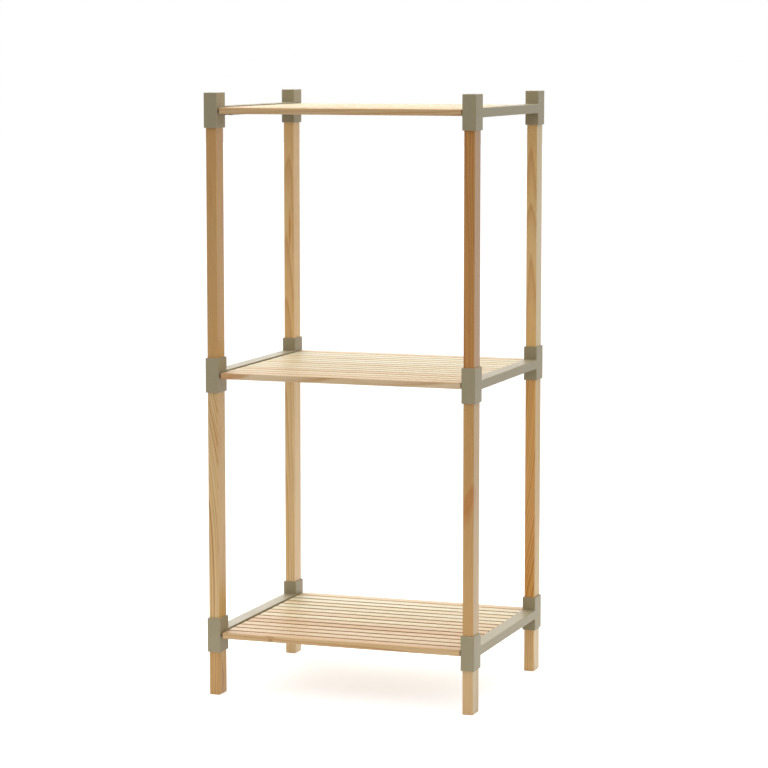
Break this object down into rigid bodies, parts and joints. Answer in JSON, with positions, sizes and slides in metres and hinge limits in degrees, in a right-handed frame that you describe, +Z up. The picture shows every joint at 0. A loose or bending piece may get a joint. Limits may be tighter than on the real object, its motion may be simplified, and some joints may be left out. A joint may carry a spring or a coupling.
{
  "type": "slatted shelving unit",
  "caption": "Open free-standing shelving unit: rectangular pine posts in moulded corner sockets, with slatted pine shelves held between moulded side rails.",
  "frame": {"origin": "on the floor, under the middle of the unit", "axes": "+Z up; the front faces -Y; +X to the right as seen from the front"},
  "size_m": [0.559, 0.461, 1.2],
  "materials": {
    "post_pine": "planed pine under a clear satin oil, honey coloured",
    "slat_pine": "planed pine under a clear satin oil, pale",
    "side_frame_moulding": "matte grey-beige moulding with a fine texture"
  },
  "bodies": {
    "root": {"upper_post_front_left": "post_pine", "upper_post_front_right": "post_pine", "upper_post_back_left": "post_pine", "upper_post_back_right": "post_pine", "lower_post_front_left": "post_pine", "lower_post_front_right": "post_pine", "lower_post_back_left": "post_pine", "lower_post_back_right": "post_pine", "foot_front_left": "post_pine", "foot_front_right": "post_pine", "foot_back_left": "post_pine", "foot_back_right": "post_pine", "side_frame_bottom_left": "side_frame_moulding", "side_frame_bottom_right": "side_frame_moulding", "side_frame_middle_left": "side_frame_moulding", "side_frame_middle_right": "side_frame_moulding", "side_frame_top_left": "side_frame_moulding", "side_frame_top_right": "side_frame_moulding", "slat_bottom_01": "slat_pine", "slat_bottom_02": "slat_pine", "slat_bottom_03": "slat_pine", "slat_bottom_04": "slat_pine", "slat_bottom_05": "slat_pine", "slat_bottom_06": "slat_pine", "slat_bottom_07": "slat_pine", "slat_bottom_08": "slat_pine", "slat_bottom_09": "slat_pine", "slat_bottom_10": "slat_pine", "slat_bottom_11": "slat_pine", "slat_bottom_12": "slat_pine", "slat_bottom_13": "slat_pine", "slat_bottom_14": "slat_pine", "slat_middle_01": "slat_pine", "slat_middle_02": "slat_pine", "slat_middle_03": "slat_pine", "slat_middle_04": "slat_pine", "slat_middle_05": "slat_pine", "slat_middle_06": "slat_pine", "slat_middle_07": "slat_pine", "slat_middle_08": "slat_pine", "slat_middle_09": "slat_pine", "slat_middle_10": "slat_pine", "slat_middle_11": "slat_pine", "slat_middle_12": "slat_pine", "slat_middle_13": "slat_pine", "slat_middle_14": "slat_pine", "slat_top_01": "slat_pine", "slat_top_02": "slat_pine", "slat_top_03": "slat_pine", "slat_top_04": "slat_pine", "slat_top_05": "slat_pine", "slat_top_06": "slat_pine", "slat_top_07": "slat_pine", "slat_top_08": "slat_pine", "slat_top_09": "slat_pine", "slat_top_10": "slat_pine", "slat_top_11": "slat_pine", "slat_top_12": "slat_pine", "slat_top_13": "slat_pine", "slat_top_14": "slat_pine"}
  },
  "joints": []
}
